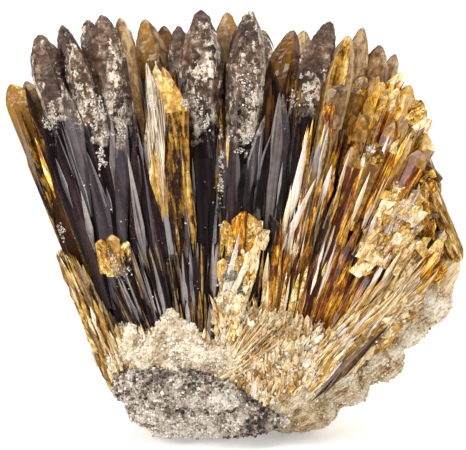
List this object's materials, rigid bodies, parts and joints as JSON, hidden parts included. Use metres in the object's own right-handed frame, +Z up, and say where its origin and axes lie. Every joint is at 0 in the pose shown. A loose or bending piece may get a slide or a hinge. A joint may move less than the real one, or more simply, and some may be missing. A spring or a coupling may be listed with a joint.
{
  "type": "amber calcite cluster",
  "caption": "Fan of long pointed amber calcite crystals, brown to golden, growing from a sugary grey matrix rock with a cream crust and a pale calcite rind.",
  "frame": {"origin": "a point near the middle of the flat that the specimen stands on", "axes": "+Z up, +X to the right and +Y to the back when the broken front of the crystal fan is faced"},
  "size_m": [0.0997, 0.0634, 0.0938],
  "materials": {
    "matrix_rock": "matte",
    "cream_crust": "matte",
    "calcite_rind": "matte",
    "dark_crystal_fan": "gloss",
    "golden_crystal_fan": "gloss"
  },
  "bodies": {
    "root": {"matrix_rock": "matrix_rock", "cream_crust": "cream_crust", "calcite_rind": "calcite_rind", "dark_crystal_fan": "dark_crystal_fan", "golden_crystal_fan": "golden_crystal_fan"}
  },
  "joints": []
}
